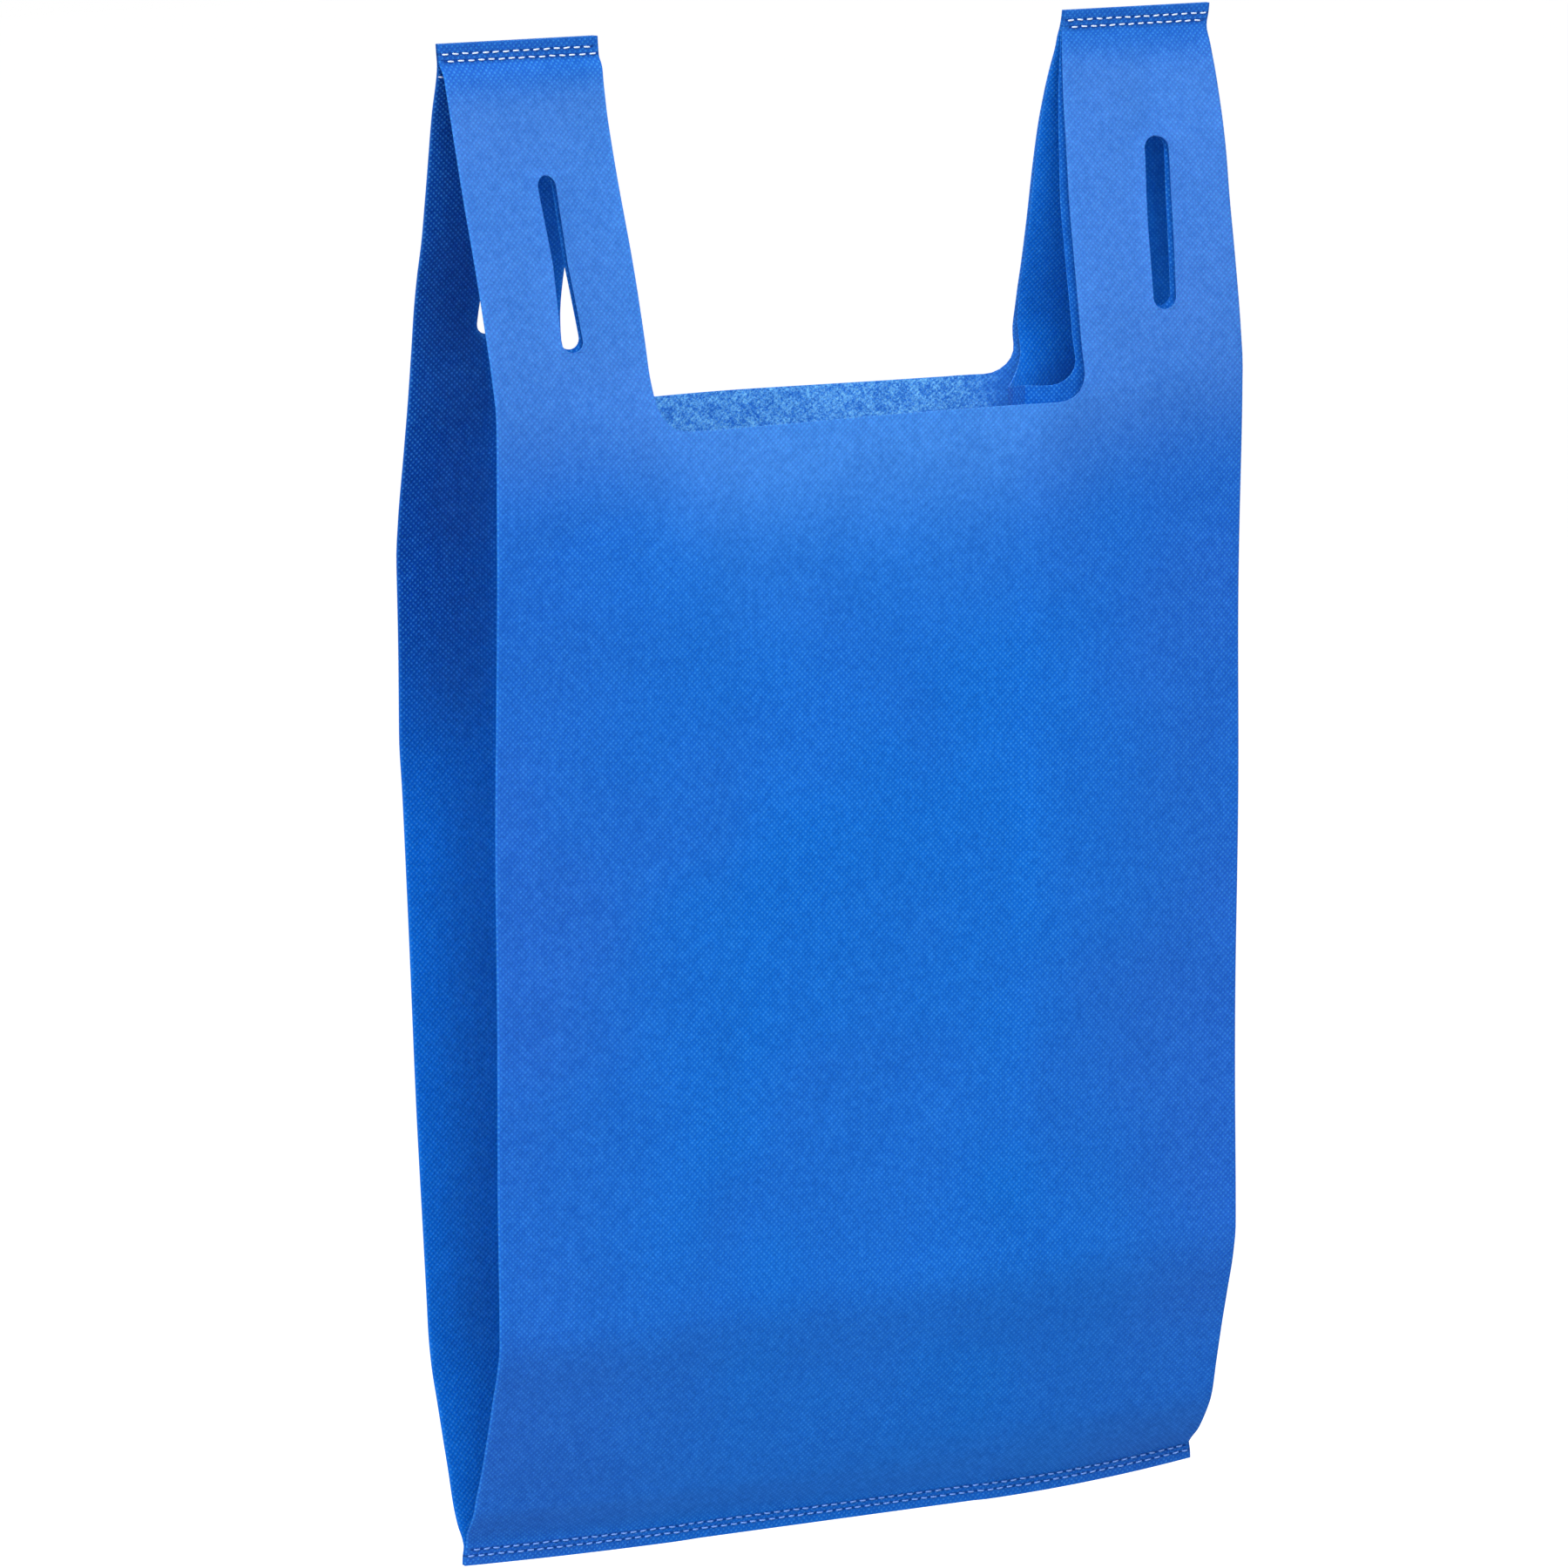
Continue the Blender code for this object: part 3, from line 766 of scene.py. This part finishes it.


# the same cloth for the outside and the inside: outside, painted light makes the panels paler towards
# the mouth and on the handles; inside, painted light for the light through a single layer makes the
# back panel pale near the mouth
def fabricMaterial(name, outside):
    material, root = newMaterial(name, weave["azure"])
    flatUv = root.node("ShaderNodeUVMap", {"uv_map": "flat"})
    dieUv = root.node("ShaderNodeUVMap", {"uv_map": "die"})
    place = root.node("ShaderNodeTexCoord", output=3)
    fromFold = root.node("ShaderNodeSeparateXYZ", sockets={0: dieUv})
    u = root.node("ShaderNodeSeparateXYZ", sockets={0: flatUv})
    v = root.node("ShaderNodeSeparateXYZ", sockets={0: flatUv}, output=1)
    fromBack = (u - backMiddle).size()
    top = cut["height"]
    turns = 2 * math.pi / weave["pointPitch"]
    lattice = (u * turns).cosine() * (v * turns).cosine()
    fibre = noise(root, place, weave["fibreScale"], 3.0, 0.6) - 0.5
    coarse = noise(root, place, weave["coarseScale"], 2.0, 0.5) - 0.5
    cloud = noise(root, place, weave["cloudScale"], 3.0, 0.55) - 0.5
    broad = noise(root, place, weave["broadScale"], 2.0, 0.5)
    points = (lattice + coarse * 0.7).between(0.05, 0.90)

    # painted sheen: the panels turn a purple blue towards their sides, mixed with a slow random tone;
    # the gussets are deeper
    centre = 1 - u.size().between(0.040, 0.150)
    tone = (broad.between(0.38, 0.62) * 0.35 + centre * 0.65).colours(weave["paintedSheenViolet"], weave["azure"])
    foldLow, foldHigh = halfWidth - weave["foldBlend"], halfWidth + weave["foldBlend"]
    onFront = 1 - u.size().between(foldLow, foldHigh)
    onBack = 1 - fromBack.between(foldLow, foldHigh)
    # painted shade: outside, the left gusset's back half is darker near its back fold, high up;
    # inside, the gussets are darker from the neck up
    if outside:
        paintedShadeShare = u.between(0.50, 0.51) * (1 - fromBack.between(0.165, 0.225)) * v.between(0.25, 0.37)
        paintedShadeShare = paintedShadeShare * weave["paintedShadeLeft"]
    else:
        paintedShadeShare = v.between(0.405, 0.425) * weave["paintedShadeInside"]
    tone = (onFront + onBack).colours(paintedShadeShare.colours(weave["gusset"], weave["paintedShade"]), tone)
    # painted light: outside, the panels paler towards the mouth, more in their middle, and on the
    # handles, less near the top seam
    if outside:
        middle = 1 - u.size().between(0.030, 0.130)
        paintedLight = v.between(0.370, 0.460) + middle * v.between(0.290, 0.430) * 0.55
        paintedLight = paintedLight * (onFront + onBack) * (1 - v.between(top - 0.030, top - 0.0070) * 0.75)
        tone = (paintedLight.between(0.0, 1.1) * weave["paintedLightShare"]).colours(tone, weave["paintedLight"])
    else:
        # painted light: inside, the middle of the back panel paler towards the mouth, uneven with the
        # fibres and clouds
        single = 1 - fromBack.between(0.060, 0.090)
        paintedGlow = onBack * single * v.between(0.300, 0.400) * (0.42 + coarse * 1.1 + fibre * 2.6)
        tone = paintedGlow.between(0.0, 1.0).colours(tone, weave["paintedGlow"])

    # bonding points, painted shade on the bands beyond the seams, and speckle
    share = weave["pointShare"] + v.between(0.36, 0.46) * weave["pointMore"]
    tone = (points * share).colours(tone, weave["point"])
    topBandShade = v.between(top - 0.0085, top - 0.0070) * 0.8
    tone = topBandShade.colours(tone, times(root, tone, weave["topBandShade"]))
    bottomBandShade = (1 - v.between(0.0060, 0.0074)) * 0.5
    tone = bottomBandShade.colours(tone, times(root, tone, weave["bottomBandShade"]))
    speck = (cloud * 0.24 + coarse * 0.42 + fibre * 0.50 + 0.5).between(0.28, 0.72)
    dark, pale = times(root, tone, weave["darkSpeck"]), times(root, tone, weave["paleSpeck"])
    tone = speck.colours(dark, pale)

    # furrows of the rows of stitches, with painted shade in the needle's puncture in each gap
    furrows, holeShadows = 0, 0
    levels = [(k, v - level) for k, level in enumerate(thread["bottomRows"])]
    levels += [(k, v - top + down) for k, down in enumerate(thread["topRows"])]
    for k, off in levels:
        furrow = 1 - (off / 0.0006).size().between(0.5, 1.0)
        turn = ((halfWidth - fromFold) / thread["pitch"] - k / 2) * (2 * math.pi)
        furrows = furrows + furrow
        holeShadows = holeShadows + furrow * turn.cosine().between(0.25, 0.80)
    tone = (holeShadows.between(0.1, 0.8) * weave["holeShadowShare"]).colours(tone, weave["holeShadow"])

    height = lattice * 0.6 + fibre * 0.5 + coarse * 0.7 + cloud * 1.1 - furrows * 1.4
    relief = {"Strength": 0.6, "Distance": weave["relief"], "Height": height}
    bump = root.node("ShaderNodeBump", sockets=relief)
    cloth = root.node(
        "ShaderNodeBsdfPrincipled",
        sockets={
            "Base Color": tone,
            "Roughness": 0.80 - points * 0.12 + coarse * 0.10,
            "Normal": bump,
            "Specular IOR Level": 0.05,
            "Sheen Weight": 0.04,
            "Sheen Roughness": 0.5,
        },
    )
    sockets = {"Color": weave["through"], "Normal": bump}
    thin = root.node("ShaderNodeBsdfTranslucent", sockets=sockets)
    through = weave["throughShare"] + speck * weave["throughSpeck"]
    mixed = root.node("ShaderNodeMixShader", sockets={0: through, 1: cloth, 2: thin})
    root.node("ShaderNodeOutputMaterial", sockets={"Surface": mixed})
    return material


# the four quarters as one mesh: folded, waved, welded where they meet, then given the
# fabric's thickness half to each side
def buildFabric():
    points, quads, flat, die = [], [], [], []
    count = 0
    for side in (-1, 1):
        for face in (-1, 1):
            s, v, keep, lip = quarterPattern(side, face)
            placed = quarterPlace(s.ravel(), v.ravel(), side, face)
            placed[:, 1] += face * lip.ravel()
            points.append(placed)
            quads.append(gridQuads(*s.shape, keep, side * face > 0) + count)
            around, near = patternUv(s.ravel(), v.ravel(), side, face)
            flat.append(around)
            die.append(near)
            count += s.size
    places = waved(np.concatenate(points))
    maps = {"flat": np.concatenate(flat), "die": np.concatenate(die)}
    mesh = meshFrom("bagFabric", places, np.concatenate(quads), maps)
    mesh.materials.append(fabricMaterial("spunbondedFabric", True))
    mesh.materials.append(fabricMaterial("spunbondedInside", False))
    work = bmesh.new()
    work.from_mesh(mesh)
    bmesh.ops.delete(work, geom=[p for p in work.verts if not p.link_faces], context="VERTS")
    bmesh.ops.remove_doubles(work, verts=work.verts, dist=2e-6)
    bmesh.ops.recalc_face_normals(work, faces=work.faces)
    work.to_mesh(mesh)
    work.free()
    fabric = asPiece("bagFabric", mesh)
    wall = fabric.modifiers.new("wall", "SOLIDIFY")
    wall.thickness = cut["thickness"]
    wall.offset = 0
    wall.use_even_offset = False
    wall.use_rim = True
    wall.material_offset = 1
    seen = fabric.evaluated_get(bpy.context.evaluated_depsgraph_get())
    solid = bpy.data.meshes.new_from_object(seen)
    fabric.modifiers.clear()
    fabric.data = solid
    solid.name = "bagFabric"
    solid.polygons.foreach_set("use_smooth", np.ones(len(solid.polygons), bool))
    solid.set_sharp_from_angle(angle=math.radians(52))
    return fabric


fabric = buildFabric()
print("fabric:", len(fabric.data.polygons), "faces")


# a point on the cloth: of the panel, or with a side given of the strip behind it
def clothPoint(x, v, face, side):
    if side:
        return waved(quarterPlace(cut["panelWidth"] - np.abs(x), v, side, face))
    return waved(panelPlace(x, v, face))


# stitches as arcs: a point runs along each one, lifted by a flat arch over the fabric's
# surface, and a ring of the thread's radius goes round it, drawn in at both ends
def stitchArcs(x, v, face, side, slant):
    step = 0.0004
    here = clothPoint(x, v, face, side)
    along = clothPoint(x + step, v, face, side) - here
    along /= np.linalg.norm(along, axis=1)[:, None]
    out = np.cross(along, clothPoint(x, v + step, face, side) - here)
    out /= np.linalg.norm(out, axis=1)[:, None]
    out *= np.sign(out[:, 1:2]) * (-face if side else face)
    up = np.cross(out, along)
    t = np.linspace(-1, 1, thread["stations"])
    angle = np.linspace(0, 2 * math.pi, thread["sides"], endpoint=False)
    arch = cut["thickness"] / 2 + thread["radius"] * (0.85 - 1.5 * np.abs(t) ** 3)
    girth = thread["radius"] * np.sqrt(1 - 0.93 * np.abs(t) ** 4)
    line = here[:, None, :] + along[:, None, :] * (t * thread["shown"] / 2)[None, :, None]
    line = line + out[:, None, :] * arch[None, :, None]
    line = line + up[:, None, :] * (slant[:, None] * t)[:, :, None]
    ring = np.cos(angle)[None, None, :, None] * up[:, None, None, :]
    ring = ring + np.sin(angle)[None, None, :, None] * out[:, None, None, :]
    return line[:, :, None, :] + ring * girth[None, :, None, None]


# faces of all stitches: the rings joined, and two four-cornered faces over each end
def stitchQuads(count):
    stations, sides = thread["stations"], thread["sides"]
    index = np.arange(count * stations * sides).reshape(count, stations, sides)
    turned = np.roll(index, -1, axis=2)
    body = np.stack([index[:, :-1], turned[:, :-1], turned[:, 1:], index[:, 1:]], -1).reshape(-1, 4)
    ends = (index[:, 0, :], index[:, -1, :])
    caps = [end[:, pick] for end in ends for pick in ([0, 3, 4, 5], [0, 1, 2, 3])]
    return np.concatenate([body] + caps)


# every row of stitches: its start and end across the panel, height, face, side of a strip's
# row or 0, and stagger
def sewnRows():
    rows, reach = [], thread["rowReach"]
    for face in (-1, 1):
        for number, v in enumerate(thread["bottomRows"]):
            rows.append((-reach, reach, v, face, 0, number / 2))
        for side in (-1, 1):
            taper = throughKnots(cut["stripTaper"][side], np.array([cut["height"] - 0.005]))[0]
            inner = halfWidth - cut["stripWidth"][side, face] + taper + thread["rowInset"]
            span = (side * inner, side * reach)
            for number, down in enumerate(thread["topRows"]):
                rows.append(span + (cut["height"] - down, face, 0, number / 2))
            if face > 0:
                for strip in (0, side):
                    level = cut["height"] - thread["legRow"][side]
                    rows.append(span + (level, face, strip, thread["legShift"] * side))
    return rows


# all stitches as one mesh, each a little off at random: along its row, upwards and in its slant
def buildThread():
    draw = np.random.RandomState(5)
    arcs = []
    for start, end, v, face, side, shift in sewnRows():
        low, high = min(start, end), max(start, end)
        x = (np.arange(-40, 40) + 0.5 + shift) * thread["pitch"]
        x = x[(x > low + thread["endRoom"]) & (x < high - thread["endRoom"])]
        x = x + draw.uniform(-1, 1, len(x)) * thread["unevenAlong"]
        height = v + draw.uniform(-1, 1, len(x)) * thread["unevenUp"]
        slant = draw.uniform(-1, 1, len(x)) * thread["slant"]
        arcs.append(stitchArcs(x, height, face, side, slant))
    arcs = np.concatenate(arcs)
    mesh = meshFrom("sewingThread", arcs.reshape(-1, 3), stitchQuads(len(arcs)))
    work = bmesh.new()
    work.from_mesh(mesh)
    bmesh.ops.recalc_face_normals(work, faces=work.faces)
    work.to_mesh(mesh)
    work.free()
    mesh.polygons.foreach_set("use_smooth", np.ones(len(mesh.polygons), bool))
    return asPiece("sewingThread", mesh)


sewing = buildThread()
print("thread:", len(sewing.data.polygons), "faces")


# spun polyester: off-white, blue low on the bag, with the twist of its plies
def threadMaterial():
    material, root = newMaterial("whiteThread", (0.86, 0.88, 0.92, 1))
    place = root.node("ShaderNodeTexCoord", output=3)
    x = root.node("ShaderNodeSeparateXYZ", sockets={0: place})
    z = root.node("ShaderNodeSeparateXYZ", sockets={0: place}, output=2)
    twist = ((x + z * 1.6) * (2 * math.pi / 0.00042)).cosine()
    fuzz = noise(root, place, 2600.0, 2.0, 0.6)
    base = z.between(0.02, 0.10).colours(thread["blue"], thread["white"])
    shade = times(root, base, (0.66, 0.74, 0.86, 1))
    tone = (twist * 0.25 + fuzz * 0.5).between(0.0, 0.55).colours(shade, base)
    relief = {"Strength": 0.6, "Distance": 0.00006, "Height": twist + fuzz}
    bump = root.node("ShaderNodeBump", sockets=relief)
    cloth = root.node(
        "ShaderNodeBsdfPrincipled",
        sockets={"Base Color": tone, "Roughness": 0.62, "Normal": bump, "Specular IOR Level": 0.3},
    )
    root.node("ShaderNodeOutputMaterial", sockets={"Surface": cloth})
    return material


sewing.data.materials.append(threadMaterial())
print("materials made")

# the studio: an even sky, four soft lamps turned to the bag, and a pale floor
studio = {
    "sky": (0.98, 0.99, 1.0, 1),
    "skyLevel": 0.42,
    # place, size and power of each lamp
    "lamps": {
        "key": ((-0.4, -1.9, 3.0), 2.2, 104.0),
        "fill": ((-3.4, -1.2, 1.2), 2.0, 74.0),
        "front": ((-1.3, -3.4, 1.0), 1.4, 17.0),
        "back": ((0.3, 2.4, 1.9), 2.2, 84.0),
    },
    "floorLevel": -0.9,
    "floorHalf": 14.0,
    "floorTone": 0.72,
    "floorLift": 0.70,
}


# a round lamp whose axis runs from its place to the point that the camera aims at
def addLamp(name, place, size, power):
    data = bpy.data.lights.new(name, "AREA")
    data.shape = "DISK"
    data.size = size
    data.energy = power
    lamp = bpy.data.objects.new(name, data)
    lamp.location = place
    way = Vector(lens["aim"]) - Vector(place)
    lamp.rotation_euler = way.to_track_quat("-Z", "Y").to_euler()
    scene.collection.objects.link(lamp)


# the sky: dim for the light that falls on things, white where the camera sees it
def addWorld():
    world = bpy.data.worlds.new("studio")
    world.use_nodes = True
    world.node_tree.nodes.clear()
    root = Value(world.node_tree, None)
    path = root.node("ShaderNodeLightPath").out.node
    camera, glossy, clear = (
        Value(world.node_tree, path.outputs[k])
        for k in ("Is Camera Ray", "Is Glossy Ray", "Is Transmission Ray")
    )
    white = root.calc("MINIMUM", camera + glossy + clear, 1.0)
    dim = root.node("ShaderNodeBackground", sockets={0: studio["sky"], 1: studio["skyLevel"]})
    bright = root.node("ShaderNodeBackground", sockets={0: (1, 1, 1, 1), 1: 1.0})
    mixed = root.node("ShaderNodeMixShader", sockets={0: white, 1: dim, 2: bright})
    root.node("ShaderNodeOutputWorld", sockets={"Surface": mixed})
    scene.world = world


# pale floor: what the camera sees of it is lifted to white, the shadow on it stays
def addFloor():
    reach, level = studio["floorHalf"], studio["floorLevel"]
    around = ((-1, -1), (1, -1), (1, 1), (-1, 1))
    corners = np.array([(x * reach, y * reach, level) for x, y in around])
    floor = asPiece("floor", meshFrom("floor", corners, np.array([[0, 1, 2, 3]])))
    material, root = newMaterial("paleFloor", (0.9, 0.9, 0.9, 1))
    tone = studio["floorTone"]
    matt = root.node("ShaderNodeBsdfDiffuse", sockets={0: (tone, tone, tone, 1)})
    camera = root.node("ShaderNodeLightPath")
    lift = root.node("ShaderNodeEmission", sockets={0: (1, 1, 1, 1), 1: camera * studio["floorLift"]})
    both = root.node("ShaderNodeAddShader", sockets={0: matt, 1: lift})
    root.node("ShaderNodeOutputMaterial", sockets={"Surface": both})
    floor.data.materials.append(material)


for name, (place, size, power) in studio["lamps"].items():
    addLamp(name, place, size, power)
addWorld()
addFloor()
scene.view_settings.view_transform = "Standard"
print("studio ready")

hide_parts("bag")
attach(fabric, "root")
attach(sewing, "root")
